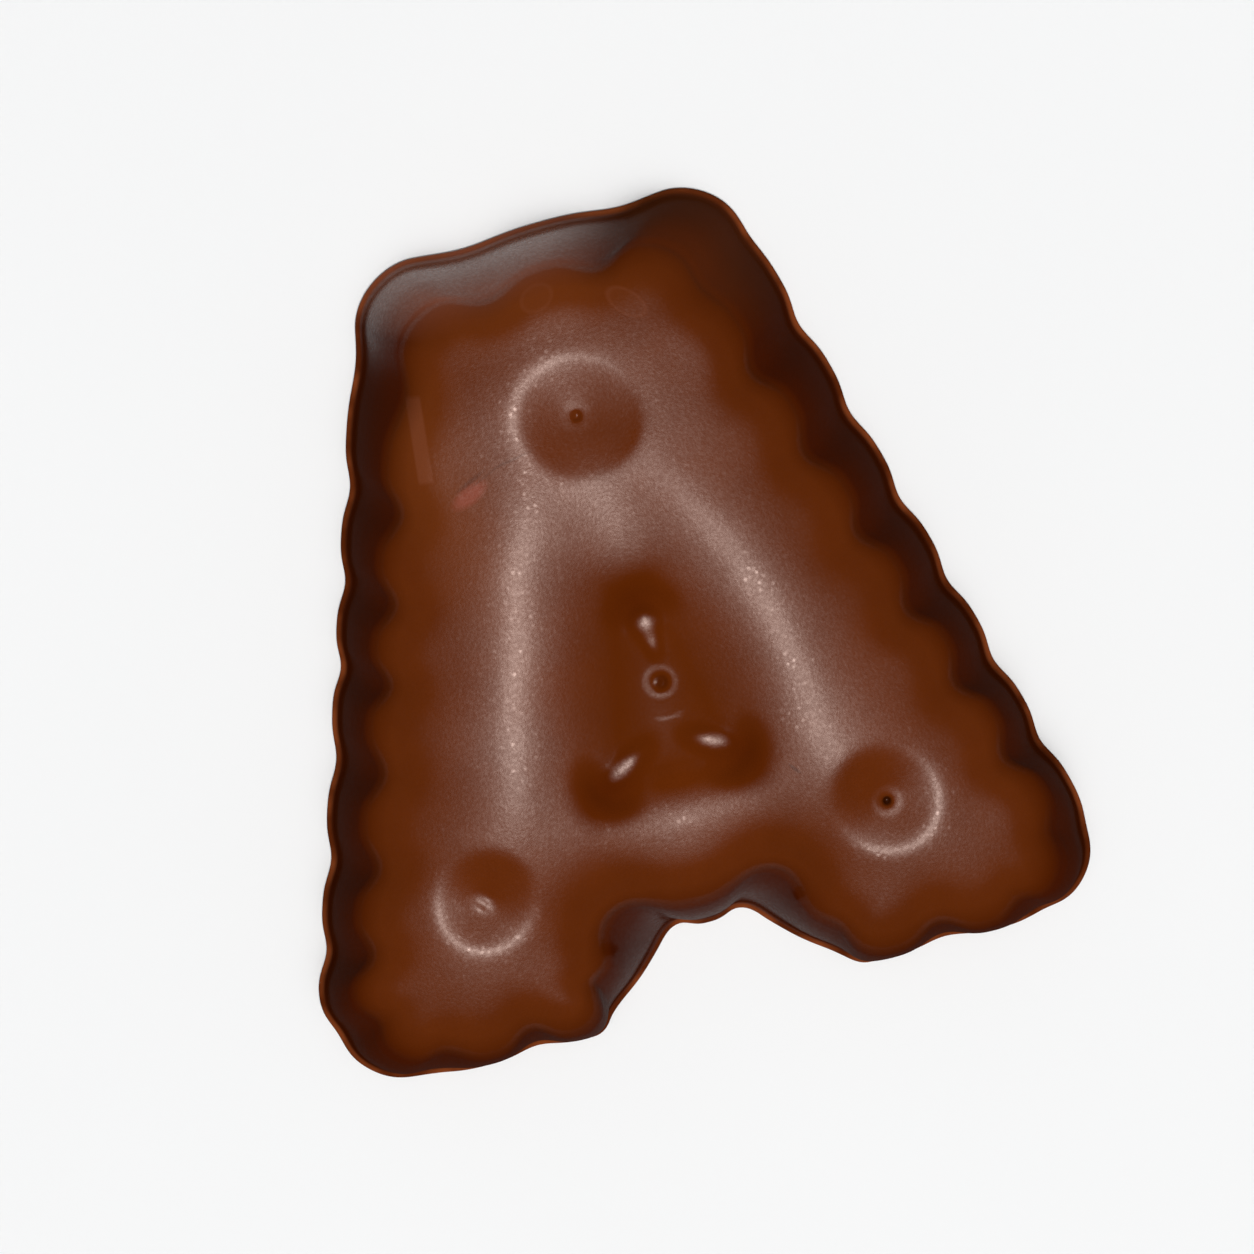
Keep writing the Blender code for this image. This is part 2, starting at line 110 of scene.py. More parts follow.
# Those in the notch between the feet: x and y.
NOTCH_BULGES = ((-5.3, -16.9), (-0.35, -15.6), (4.6, -16.9))
# How much sharper the valleys are than the bulges, how much shallower the flutes are at the outer corners,
# and how far from them.
VALLEY_SHARPNESS = 0.18
CORNER_CALM = 0.7
CORNER_CALM_REACH = 3.6

# The top is shaped like a skin held at its edge: it bulges over the strokes, most along their crests, and
# is drawn down over the closed counter of the letter. All three are curvatures in 1/mm.
STROKE_BULGE = 0.032
CREST_BULGE = 0.048
HOLLOW_DRAW = 0.10
CREST_LINES = (
    ((-12.6, -14.6), (-11.3, -11.6), (-9.2, -8.5), (-7.3, -2.4), (-4.9, 8.3), (-3.5, 12.6), (-0.4, 15.4)),
    ((12.0, -14.6), (10.4, -11.9), (7.1, -7.0), (7.2, -0.5), (3.4, 9.2), (2.6, 13.0)),
    ((-6.5, -10.9), (5.5, -10.9)),
)
CREST_WIDTH = 2.2
# Corners of the hollow: x, y and the radius of the rounding. Then the length of a step round it, and the
# distance over which the draw begins.
HOLLOW_CORNERS = (
    (-4.2, -8.4, 1.2),
    (4.8, -8.5, 1.2),
    (2.2, 3.8, 0.9),
    (-1.6, 3.8, 0.9),
)
HOLLOW_STEP = 0.4
HOLLOW_FADE = 2.5
# The skin bulges less in the head: middle x and y, reach across and along, and the share that is left.
FLAT_HEAD = (-2.0, 14.5, 7.5, 5.8, 0.30)
# A low saddle between the hollow and the head: middle x and y, reach across and along, how much it draws.
SADDLE = (0.7, 6.7, 2.3, 2.4, 0.075)

# The hollow has dried dull: how much, over which distance, and how far outside its corners that starts.
HOLLOW_DULLNESS = 0.97
DULL_FADE = 2.2
DULL_START = 0.9
# The dimples have dried a little dull: how much, and how steeply that begins inside the crest.
DIMPLE_DULLNESS = 0.25
DIMPLE_STEEPNESS = 2.2
# The crescent pits are dull as far as this from their middles, which fades out over the second distance.
PIT_DULL_REACH = 2.533
PIT_DULL_FADE = 1.583
# What stands up isn't dull: how steeply that begins, and how much a rim or a thin ridge counts.
LIFTED_STEEPNESS = 1.25
RIM_SHARE = 0.5
# Parts of the dimples' crests are duller, or shine more where the share is below zero: centre x and y,
# radius, half width, share, heading in degrees, spread.
CREST_ARCS = (
    (-0.1, 11.95, 3.32, 0.40, -0.85, 165.0, 0.50),
    (-0.1, 11.95, 3.25, 0.50, 0.55, -40.0, 0.90),
    (-11.3, -11.65, 2.75, 0.40, -0.15, 245.0, 0.60),
    (-11.3, -11.65, 2.70, 0.50, 0.50, 60.0, 1.00),
    (10.45, -11.9, 2.92, 0.40, -0.20, -45.0, 0.60),
    (10.45, -11.9, 2.87, 0.50, 0.60, 130.0, 0.90),
)
# The brightest lines along the ridges.
SHINE_LINES = (
    ((-3.3, 10.2), (-4.5, 7.0), (-5.6, 4.3), (-6.4, 0.6), (-7.0, -2.4), (-7.7, -5.0)),
    ((6.5, 1.3), (7.2, -1.1), (7.4, -4.1), (7.3, -7.1)),
    ((-3.8, -9.6), (-1.1, -9.7), (3.7, -10.1)),
)
# How much more these lines shine, and their half width.
LINE_SHINE = 0.02
LINE_WIDTH = 0.45
# How much duller the coating is beside them, how far away, and the half width of that.
RIDGE_CALM = 0.10
RIDGE_CALM_AWAY = 1.4
RIDGE_CALM_WIDTH = 0.8
# Half width of the stretch with fine bright points along them, and the share of the points elsewhere.
POINTS_WIDTH = 0.9
POINTS_ELSEWHERE = 0.25
# Duller patches of the coating: middle x and y, half length, half width, turn in degrees, share.
DULL_PATCHES = (
    (3.8, 8.2, 5.0, 2.2, -62.0, 0.50),
    (0.3, -8.2, 4.2, 1.2, 0.0, 0.85),
    (0.0, -10.0, 6.5, 1.2, 0.0, 0.35),
    (12.5, 5.0, 3.5, 2.0, 103.0, 0.2),
    (-8.4, -8.4, 3.0, 2.0, 75.0, 0.35),
    (8.6, -4.5, 5.0, 1.5, 100.0, 0.12),
)
# The knobs shine more than the rest of the top: how much, where a knob counts for more than this, and
# which share of its length and width counts.
KNOB_SHINE = 0.6
KNOB_SHINE_FROM = 0.3
KNOB_GLINT = (0.78, 0.62)
# The wall is dull too, but less so at the end of the head and in the notch: middle x and y, half width and
# half depth of those places, and how dull they are. The wall ends between two heights.
SIDE_DULLNESS = 0.95
GLOSSY_WALLS = (
    (-3.5, 21.5, 7.0, 4.0, -0.5),
    (-0.5, -17.5, 7.0, 3.6, 0.60),
)
WALL_FADE = (7.5, 8.5)

# The edge of the top rolls over from the wall, over and above the skin.
ROLL_RISE = 0.26
ROLL_REACH = 3.0
ROLL_POWER = 4.5

# Where the top is drawn down: x, y, how wide and how deep. These are the outer corners of the feet and
# of the head, and a dent beside the right foot. The wall follows from the first of the two heights on.
DROPS = (
    (-20.6, -19.6, 4.5, 0.65),
    (20.3, -19.7, 4.3, 0.60),
    (7.4, 19.65, 4.0, 0.50),
    (-7.6, 19.3, 4.0, 0.50),
    (20.6, -16.9, 1.7, 0.90),
)
DROP_HEIGHTS = (4.0, 8.25)

# The skin is worked out by relaxing a lattice of heights: its spacing, its margin round the outline, how
# many steps, how careful they are, and how firmly the places outside the outline are held down.
LATTICE_STEP = 0.15
LATTICE_MARGIN = 1.5
RELAXING_STEPS = 800
RELAXING_CARE = 5.0
HOLD = 16.0

# Round dimples, like shallow funnels: centre x and y, radius of the crest, depth, softness of the crest.
DIMPLES = (
    (-0.1, 11.95, 3.2, 0.55, 0.05),
    (-11.3, -11.65, 2.65, 0.66, 0.06),
    (10.45, -11.9, 2.82, 0.76, 0.06),
)
# The funnels' tips are rounded over this distance.
FUNNEL_TIP = 0.3

# Little knobs, each a small dome on the top: centre x and y, half length, half width, rise, how much it
# bends along and across in 1/mm, turn in degrees.
KNOBS = (
    (0.66, -0.35, 1.10, 0.60, 0.14, 0.06, 0.30, 96.0),
    (0.61, 0.42, 0.88, 0.88, 0.19, 0.16, 0.18, 0.0),
    (-2.31, -6.65, 1.50, 0.84, 0.18, 0.05, 0.28, 30.0),
    (2.31, -6.48, 1.35, 0.82, 0.18, 0.06, 0.28, -24.0),
)
# Crescent pits round the outer ends of the knobs, and a thin ridge round the pin hole in the hollow:
# centre x and y, radius, half width, rise, heading in degrees, spread.
CRESCENTS = (
    (0.61, 0.40, 1.20, 0.70, -0.20, 92.0, 0.8),
    (-2.70, -6.85, 1.35, 0.75, -0.30, 222.0, 0.7),
    (2.65, -6.68, 1.35, 0.75, -0.28, 313.0, 0.7),
    (0.55, -2.85, 1.95, 0.17, 0.009, 271.0, 0.12),
)
# Nubs in two of the pin holes and in the left foot's dimple: centre x and y, half length, half width,
# height, turn.
NUBS = (
    (0.38, -2.82, 0.30, 0.24, 0.13, 60.0),
    (-11.4, -11.75, 0.50, 0.30, 0.08, -48.0),
    (-0.22, 11.95, 0.16, 0.12, 0.06, 60.0),
)

# Pin holes with a raised rim: centre x and y, hole radius, depth, rim radius, rim height. Then the half
# width of the rims.
PIN_HOLES = (
    (0.55, -2.85, 0.42, 0.16, 0.76, 0.014),
    (10.45, -12.0, 0.22, 0.30, 0.46, 0.036),
    (-0.1, 11.9, 0.24, 0.12, 0.48, 0.012),
)
RIM_WIDTH = 0.30

# The crease where the wall meets the top is eased, in passes that reach this far to both sides of it: how
# strong a pass is, and the height where they begin.
EASE_REACHES = (1.4, 1.2, 1.0, 0.9, 0.8, 0.7, 0.6, 0.5, 0.4, 0.3)
EASE_STRENGTH = 0.5
EASE_FROM = 7.0

# Slow waves in the coating: how many, their shortest and longest length, their height, and a fixed seed.
WAVES = 14
WAVE_LENGTHS = (4.5, 11.0)
WAVE_HEIGHT = 0.004
WAVE_SEED = 7

# Spacing of the grid on the top, the share of it within which a cut snaps to a corner, and the finer
# windows in the grid: middle x and y, half widths, spacing.
GRID_STEP = 0.24
SNAP_SHARE = 0.16
WINDOWS = (
    (0.35, -3.2, 5.4, 6.2, 0.14),
    (0.55, -2.85, 1.2, 1.2, 0.07),
    (10.45, -12.0, 0.9, 0.9, 0.07),
    (-0.1, 11.9, 0.9, 0.9, 0.07),
    (-11.35, -11.7, 0.9, 0.9, 0.08),
)

# Marks on the coating, and light and shade painted into its colour: centre x and y, half length, half
# width, softness of the edge, turn in degrees, share and colour.
BLOTS_AND_PAINTED_LIGHT = (
    # Painted light: these two are lighter where the shoulders round the head catch more light.
    (-8.2, 12.0, 8.5, 1.9, 1.6, 99.0, 0.55, (0.120, 0.034, 0.006)),
    (-1.5, 18.6, 6.5, 1.5, 1.6, 0.0, 0.45, (0.120, 0.034, 0.006)),
    # Painted shade: these three darken the pits beside the knobs.
    (-3.5, -7.6, 1.5, 1.2, 1.8, 40.0, 0.50, (0.040, 0.0065, 0.0004)),
    (3.7, -7.5, 1.5, 1.2, 1.8, -45.0, 0.45, (0.040, 0.0065, 0.0004)),
    (0.3, 1.6, 1.2, 1.0, 1.8, 0.0, 0.35, (0.040, 0.0065, 0.0004)),
    # Real marks: a reddish mark, thin dark scratches and a nick.
    (-6.55, 9.35, 0.95, 0.42, 0.7, 25.0, 0.62, (0.19, 0.050, 0.032)),
    (-6.3, 10.05, 0.80, 0.12, 0.9, 25.0, 0.45, (0.040, 0.008, 0.001)),
    (6.2, -9.0, 0.36, 0.09, 0.7, -52.0, 0.60, (0.030, 0.005, 0.0005)),
    (-3.9, 10.6, 0.95, 0.07, 0.9, 10.0, 0.45, (0.035, 0.007, 0.0008)),
    (-5.3, 10.2, 1.4, 0.06, 0.9, 24.0, 0.30, (0.045, 0.010, 0.001)),
    # Painted shade: these two darken the pin holes in the right foot's dimple and in the hollow.
    (10.45, -12.0, 0.20, 0.20, 0.5, 0.0, 0.85, (0.012, 0.003, 0.0005)),
    (0.60, -2.85, 0.34, 0.34, 0.5, 0.0, 0.45, (0.030, 0.006, 0.0006)),
)
# A pale strip with straight sides beside the head: centre x and y, half length, half width, turn, share.
STRIP = (-8.35, 12.75, 2.3, 0.40, 84.0, 0.20)
# Faint closed rings near the head: centre x and y, half length, half width, turn, share.
FAINT_RINGS = (
    (-0.5, 18.4, 0.9, 0.65, 20.0, 0.10),
    (4.0, 17.0, 1.15, 0.60, -45.0, 0.13),
)
PALE = (0.20, 0.085, 0.050)
# From where to where their edges fade, with 1 for the edge itself: outside and inside of a ring with what
# is left in its middle, and the ends and the sides of the strip.
RING_OUTSIDE = (0.95, 1.15)
RING_INSIDE = (0.75, 0.95)
RING_MIDDLE = 0.3
STRIP_ENDS = (0.93, 1.03)
STRIP_SIDES = (0.8, 1.1)

# Noises in the finish: scale, detail and roughness. Where four more values follow, the noise from the first
# to the second of them becomes a share from the third to the fourth.
CLOUDS = (160.0, 3.0, 0.5), (0.35, 0.65, 0.0, 1.0)
MOTTLE = (900.0, 3.0, 0.5), (0.3, 0.7, 0.0, 0.25)
# The lip's painted light comes in these patches.
LIP_GLOW_PATCHES = (420.0, 2.0, 0.5), (0.42, 0.62, 0.25, 1.0)
SPECKS = (5200.0, 2.0, 0.55), (0.40, 0.68, 0.84, 1.32)
POINT_GROUPS = (500.0, 2.0, 0.5), (0.4, 0.65, 0.35, 1.0)
GRAIN = (6500.0, 2.0, 0.6)
FLOOR_NOISE = (30.0, 2.0, 0.5)

# Colours of the coating: the two tones of its clouds, the mottle, the wall, darkened as painted shade, and
# the lip round its foot, lightened as painted light.
CLOUD_TONES = (0.074, 0.0170, 0.0015), (0.086, 0.0203, 0.0023)
MOTTLE_COLOUR = (0.068, 0.0145, 0.0012)
SHADED_WALL_COLOUR = (0.042, 0.0068, 0.0004)
LIP_GLOW_COLOUR = (0.17, 0.050, 0.015)
# Round the end of the head the wall's painted shade gives way to painted light: a mauve painted reflection
# of the floor, and a paler brown. Middle x and y, half length, half width, turn and colour. That fades
# between these shares of the half length and width.
PAINTED_WALL_LIGHT = (
    # Painted reflection of the floor on the wall round the end of the head.
    (-3.5, 21.0, 6.8, 2.8, 0.0, (0.150, 0.052, 0.028)),
    # Painted light: the wall is a lighter brown by the head's right-hand corner.
    (8.0, 18.8, 5.0, 2.8, -55.0, (0.062, 0.0150, 0.0036)),
)
PAINTED_WALL_LIGHT_EDGE = (0.6, 1.3)
# Heights in metres between which the wall's painted shade and the lip's painted light end.
WALL_TOP = (0.0070, 0.0083)
LIP_TOP = (0.0003, 0.0006)

# The coating's gloss: from and to which dullness, and how strong it is there.
GLOSS_LEVELS = (-1.0, 1.0, 0.72, 0.0)
GLOSS_ROUGHNESS = 0.19
GLOSS_IOR = 1.5
CHOCOLATE_ROUGHNESS = 0.5
# How high the grain is in metres, and how strong.
GRAIN_BUMP = (0.00003, 0.17)
# The fine bright points, one in each cell: scale of the cells, how chance becomes strength, how far from
# its middle a point reaches, the heights in metres where they begin, and how strength becomes gloss.
POINT_CELLS = 3000.0
POINT_STRENGTHS = (0.4, 1.0, 0.0, 1.6)
POINT_EDGE = (0.10, 0.42, 1.0, 0.0)
POINTS_ABOVE = (0.0074, 0.0084, 0.0, 1.0)
POINT_GLOSS = (0.0, 1.0, 0.94, 2.45)

# The floor: half its width in metres, two tones and roughness.
FLOOR_SIZE = 2.5
FLOOR_TONES = (0.63, 0.83, 0.94), (0.645, 0.85, 0.962)
FLOOR_ROUGHNESS = 0.7

# The view of the photograph: how far it leans from straight down towards the head of the letter, how far
# the letter is turned in it, and in metres its distance, its width at the letter, its target and its end.
VIEW_LEAN = math.radians(7.7)
VIEW_TURN = math.radians(15.0)
VIEW_DISTANCE = 0.9
VIEW_WIDTH = 0.066
VIEW_TARGET = Vector((0.0, 0.0, 0.005))
VIEW_END = 10.0
SENSOR = 36.0

# The lamp: where it is, what it points at, its colour, and size and power of each of its layers. The light
# from all round is faint.
LAMP_PLACE = (0.0, -0.12, 1.1)
LAMP_TARGET = (0.0, 0.0, 0.0)
LAMP_COLOUR = (1.0, 0.76, 0.67)
LAMP_LAYERS = ((0.13, 1.3), (0.24, 2.6), (0.38, 3.3), (0.56, 4.8), (0.82, 4.5), (1.15, 2.1))
AROUND_COLOUR = (1.0, 0.93, 0.90, 1.0)
AROUND_STRENGTH = 0.12


def unit(dx, dy):
    length = math.hypot(dx, dy)
    return dx / length, dy / length


def inset_corners(corners, distance):
    """Move every side of the outline inwards by distance, and round the corners to suit."""
    moved = []
    for i, (x, y, radius) in enumerate(corners):
        before = corners[i - 1]
        after = corners[(i + 1) % len(corners)]
        ax, ay = unit(x - before[0], y - before[1])
        bx, by = unit(after[0] - x, after[1] - y)
        turn = ax * by - ay * bx
        shift_x = distance * (ax - bx) / turn
        shift_y = distance * (ay - by) / turn
        grown = radius - math.copysign(distance, turn)
        moved.append((x - shift_x, y - shift_y, max(grown, SMALLEST_RADIUS)))
    return moved


def corner_arc(before, corner, after):
    """Centre, radius, first angle and sweep of the arc that rounds a corner."""
    ax, ay = unit(corner[0] - before[0], corner[1] - before[1])
    bx, by = unit(after[0] - corner[0], after[1] - corner[1])
    sweep = math.atan2(ax * by - ay * bx, ax * bx + ay * by)
    side = math.copysign(1.0, sweep)
    radius = corner[2]
    reach = radius * math.tan(abs(sweep) / 2)
    centre_x = corner[0] - ax * reach - ay * radius * side
    centre_y = corner[1] - ay * reach + ax * radius * side
    first = math.atan2(-ax * side, ay * side)
    return centre_x, centre_y, radius, first, sweep


def outline_counts(corners, spacing):
    """Number of steps on each corner's arc and on the straight that follows it."""
    arcs = []
    straights = []
    for i, corner in enumerate(corners):
        after = corners[(i + 1) % len(corners)]
        arc = corner_arc(corners[i - 1], corner, after)
        next_arc = corner_arc(corner, after, corners[(i + 2) % len(corners)])
        end_x = arc[0] + arc[2] * math.cos(arc[3] + arc[4])
        end_y = arc[1] + arc[2] * math.sin(arc[3] + arc[4])
        start_x = next_arc[0] + next_arc[2] * math.cos(next_arc[3])
        start_y = next_arc[1] + next_arc[2] * math.sin(next_arc[3])
        arcs.append(max(FEWEST_ARC_STEPS, round(arc[2] * abs(arc[4]) / spacing)))
        length = math.hypot(start_x - end_x, start_y - end_y)
        straights.append(max(FEWEST_STRAIGHT_STEPS, round(length / spacing)))
    return arcs, straights


def outline_points(corners, counts):
    """Points round the rounded outline, always the same number for the same counts."""
    arcs, straights = counts
    points = []
    for i, corner in enumerate(corners):
        after = corners[(i + 1) % len(corners)]
        cx, cy, radius, first, sweep = corner_arc(corners[i - 1], corner, after)
        for k in range(arcs[i] + 1):
            angle = first + sweep * k / arcs[i]
            points.append((cx + radius * math.cos(angle), cy + radius * math.sin(angle)))
        next_arc = corner_arc(corner, after, corners[(i + 2) % len(corners)])
        start = points[-1]
        end_x = next_arc[0] + next_arc[2] * math.cos(next_arc[3])
        end_y = next_arc[1] + next_arc[2] * math.sin(next_arc[3])
        for k in range(1, straights[i]):
            part = k / straights[i]
            points.append((start[0] + (end_x - start[0]) * part, start[1] + (end_y - start[1]) * part))
    return np.array(points)


def mixed_corners(part):
    """Corners part of the way from the base outline to the shoulder outline."""
    pairs = zip(BASE_CORNERS, SHOULDER_CORNERS)
    return [tuple(low + (high - low) * part for low, high in zip(a, b)) for a, b in pairs]


def outward(points):
    """Unit vectors that point out of a closed counterclockwise outline."""
    along = np.roll(points, -1, axis=0) - np.roll(points, 1, axis=0)
    along /= np.linalg.norm(along, axis=1)[:, None]
    return np.column_stack((along[:, 1], -along[:, 0]))


def side_point(corners, index, value, axis):
    """Point on the side after a corner where x (axis 0) or y (axis 1) has the given value."""
    start = corners[index]
    end = corners[(index + 1) % len(corners)]
    part = (value - start[axis]) / (end[axis] - start[axis])
    return start[0] + (end[0] - start[0]) * part, start[1] + (end[1] - start[1]) * part


def flute_wave(points):
    """Height of the flutes at each point of the outline, from about -1.2 to 0.8."""
    middle = mixed_corners(0.5)
    bulges = list(NOTCH_BULGES)
    for corner, axis, values in SIDE_BULGES:
        bulges += [side_point(middle, corner, value, axis) for value in values]
    steps = np.linalg.norm(np.roll(points, -1, axis=0) - points, axis=1)
    along = np.concatenate(([0.0], np.cumsum(steps)))
    length = along[-1]
    places = sorted(along[np.argmin(np.hypot(points[:, 0] - x, points[:, 1] - y))] for x, y in bulges)
    knots = [places[-1] - length] + places + [places[0] + length]
    phase = 2 * math.pi * np.interp(along[:-1], knots, range(len(knots)))
    wave = np.cos(phase) - VALLEY_SHARPNESS * np.cos(2 * phase)
    calm = np.zeros(len(points))
    for i in OUTER_CORNERS:
        away = np.hypot(points[:, 0] - middle[i][0], points[:, 1] - middle[i][1])
        calm = np.maximum(calm, np.exp(-(away / CORNER_CALM_REACH) ** 2))
    return wave * (1 - CORNER_CALM * calm)


def square_distance(x, y, start, end):
    """Square of the distance from each place to a stretch of line."""
    dx, dy = end[0] - start[0], end[1] - start[1]
    part = np.clip(((x - start[0]) * dx + (y - start[1]) * dy) / (dx * dx + dy * dy), 0.0, 1.0)
    return (x - start[0] - dx * part) ** 2 + (y - start[1] - dy * part) ** 2


def distance_to_lines(x, y, lines):
    stretches = [pair for line in lines for pair in zip(line, line[1:])]
    return np.sqrt(np.min([square_distance(x, y, *pair) for pair in stretches], axis=0))


def distance_inside(x, y, polygon):
    """Distance from each place to a closed polygon, positive inside it."""
    nearest = np.full(x.shape, 1e9)
    inside = np.zeros(x.shape, bool)
    for start, end in zip(polygon, np.roll(polygon, -1, axis=0)):
        nearest = np.minimum(nearest, square_distance(x, y, start, end))
        if start[1] != end[1]:
            crossing = start[0] + (end[0] - start[0]) * (y - start[1]) / (end[1] - start[1])
            inside ^= ((start[1] > y) != (end[1] > y)) & (x < crossing)
    return np.where(inside, np.sqrt(nearest), -np.sqrt(nearest))


def smooth_step(value):
    value = np.clip(value, 0.0, 1.0)
    return value * value * (3 - 2 * value)


def turned(x, y, cx, cy, turn):
    """Places measured from a centre, along and across a heading."""
    cos, sin = math.cos(math.radians(turn)), math.sin(math.radians(turn))
    return (x - cx) * cos + (y - cy) * sin, (y - cy) * cos - (x - cx) * sin


def bump_height(x, y, cx, cy, half_length, half_width, height, turn):
    along, across = turned(x, y, cx, cy, turn)
    return height * np.exp(-(along / half_length) ** 2 - (across / half_width) ** 2)


def plateau(x, y, cx, cy, half_x, half_y):
    """Near 1 round a place, with a steep fall at the half widths."""
    return np.exp(-((x - cx) / half_x) ** 4 - ((y - cy) / half_y) ** 4)


class Skin:
    """The height of a skin that is held along the outline and bulges or is drawn down inside it."""

    def __init__(self, outline):
        self.low = outline.min(axis=0) - LATTICE_MARGIN
        high = outline.max(axis=0) + LATTICE_MARGIN
        xs = np.arange(self.low[0], high[0], LATTICE_STEP)
        ys = np.arange(self.low[1], high[1], LATTICE_STEP)
        x, y = np.meshgrid(xs, ys, indexing="ij")
        inside = distance_inside(x, y, outline)
        share = smooth_step(hollow_distance(x, y) / HOLLOW_FADE + 0.5)
        crest = np.exp(-(distance_to_lines(x, y, CREST_LINES) / CREST_WIDTH) ** 2)
        *place, left = FLAT_HEAD
        flat = (1 - left) * plateau(x, y, *place)
        bulge = (STROKE_BULGE + CREST_BULGE * crest) * (1 - flat)
        bulge -= bump_height(x, y, *SADDLE, 0.0)
        push = bulge - (HOLLOW_DRAW + bulge) * share
        hold = HOLD * np.clip(0.5 - inside / (2 * LATTICE_STEP), 0.0, 1.0)
        self.field = self.relaxed(push * LATTICE_STEP ** 2, 4.0 + hold)

    @staticmethod
    def relaxed(push, stiffness):
        """Heights that are in balance with their four neighbours, found for odd and even places in turn."""
        height = np.zeros(push.shape)
        i, j = np.indices(push.shape)
        odd = ((i + j) % 2 == 1)[1:-1, 1:-1]
        pull = 2.0 / (1.0 + RELAXING_CARE / max(push.shape))
        centre = height[1:-1, 1:-1]
        for _ in range(RELAXING_STEPS):
            for chosen in (odd, ~odd):
                around = height[2:, 1:-1] + height[:-2, 1:-1] + height[1:-1, 2:] + height[1:-1, :-2]
                change = (around + push[1:-1, 1:-1]) / stiffness[1:-1, 1:-1] - centre
                centre += np.where(chosen, pull * change, 0.0)
        return height

    def at(self, x, y):
        """The skin's height at each place, from the four by four heights of the lattice round it."""
        u = np.clip((x - self.low[0]) / LATTICE_STEP, 1, self.field.shape[0] - 3)
        v = np.clip((y - self.low[1]) / LATTICE_STEP, 1, self.field.shape[1] - 3)
        i, j = u.astype(int), v.astype(int)
        along = smooth_weights(u - i)
        across = smooth_weights(v - j)
        pairs = [(a, b) for a in range(4) for b in range(4)]
        return sum(along[a] * across[b] * self.field[i + a - 1, j + b - 1] for a, b in pairs)


def smooth_weights(t):
    """Weights of four neighbours in a row, for a curve without kinks."""
    return ((1 - t) ** 3 / 6, (3 * t ** 3 - 6 * t ** 2 + 4) / 6,
            (-3 * t ** 3 + 3 * t ** 2 + 3 * t + 1) / 6, t ** 3 / 6)


def hollow_distance(x, y):
    """Distance inside the corners of the hollow."""
    counts = outline_counts(HOLLOW_CORNERS, HOLLOW_STEP)
    return distance_inside(x, y, outline_points(HOLLOW_CORNERS, counts))


def dimple_height(x, y, cx, cy, radius, depth, softness):
    """A shallow funnel that begins softly at its crest."""
    away = np.sqrt((x - cx) ** 2 + (y - cy) ** 2 + FUNNEL_TIP ** 2) / radius
    return -depth * softness * np.log1p(np.exp((1 - away) / softness))


def knob_share(x, y, cx, cy, half_length, half_width, turn):
    """How much each place is on a knob, from 1 in its middle to 0."""
    along, across = turned(x, y, cx, cy, turn)
    return np.exp(-((along / half_length) ** 2 + (across / half_width) ** 2) ** 1.5)


def with_knob(x, y, height, centre_height, knob):
    """The height with a small dome blended into it round the knob's centre."""
    cx, cy, half_length, half_width, rise, bend_along, bend_across, turn = knob
    along, across = turned(x, y, cx, cy, turn)
    dome = centre_height + rise - bend_along * along ** 2 / 2 - bend_across * across ** 2 / 2
    return height + (dome - height) * knob_share(x, y, cx, cy, half_length, half_width, turn)


def crescent_height(x, y, cx, cy, radius, half_width, rise, heading, spread):
    """A stretch of a round ridge or groove, highest or deepest towards the heading."""
    along, across = turned(x, y, cx, cy, heading)
    away = np.hypot(along, across)
    aside = 1 - along / np.maximum(away, 1e-6)
    return rise * np.exp(-((away - radius) / half_width) ** 2 - (aside / spread) ** 2)


def pin_hole_height(x, y, cx, cy, radius, depth, rim_radius, rim_height):
    """A small hole with a raised rim round it."""
    away = np.hypot(x - cx, y - cy)
    rim = np.exp(-((away - rim_radius) / RIM_WIDTH) ** 2)
    return rim_height * rim - depth * np.exp(-(away / radius) ** 4)


def coating_waves(x, y):
    """Very slow, low waves that keep the coating from looking machined."""
    rng = np.random.default_rng(WAVE_SEED)
    height = np.zeros(x.shape)
    for length in np.linspace(*WAVE_LENGTHS, WAVES):
        heading, phase = rng.uniform(0, 2 * math.pi, 2)
        along = x * math.cos(heading) + y * math.sin(heading)
        height += WAVE_HEIGHT * np.sin(2 * math.pi * along / length + phase)
    return height


def drop(x, y):
    """How far the top is drawn down at each place."""
    drawn = np.zeros(x.shape)
    for cx, cy, reach, depth in DROPS:
        drawn += depth * np.exp(-((x - cx) ** 2 + (y - cy) ** 2) / reach ** 2)
    return drawn


def ring_height(points, height, skin):
    """Heights of a wall ring's points, which follow the skin and the drops."""
    x, y = points[:, 0], points[:, 1]
    share = smooth_step((height - DROP_HEIGHTS[0]) / (DROP_HEIGHTS[1] - DROP_HEIGHTS[0]))
    return height + skin.at(x, y) - share * drop(x, y)


def open_top(x, y, edge, skin):
    """Height of the top above its last ring, before knobs and pin holes."""
    part = np.clip(distance_inside(x, y, edge) / ROLL_REACH, 0.0, 1.0)
    height = skin.at(x, y) - drop(x, y) + ROLL_RISE * (1 - (1 - part) ** ROLL_POWER)
    height += coating_waves(x, y) * smooth_step(part)
    for dimple in DIMPLES:
        height += dimple_height(x, y, *dimple)
    for crescent in CRESCENTS:
        height += crescent_height(x, y, *crescent)
    return height


def top_height(x, y, edge, skin):
    """Height of the top above the resting face at each place inside the last ring."""
    height = open_top(x, y, edge, skin)
    middles = open_top(np.array([k[0] for k in KNOBS]), np.array([k[1] for k in KNOBS]), edge, skin)
    for knob, middle in zip(KNOBS, middles):
        height = with_knob(x, y, height, middle, knob)
    for nub in NUBS:
        height += bump_height(x, y, *nub)
    for hole in PIN_HOLES:
        height += pin_hole_height(x, y, *hole)
    return WALL[-1][2] + height


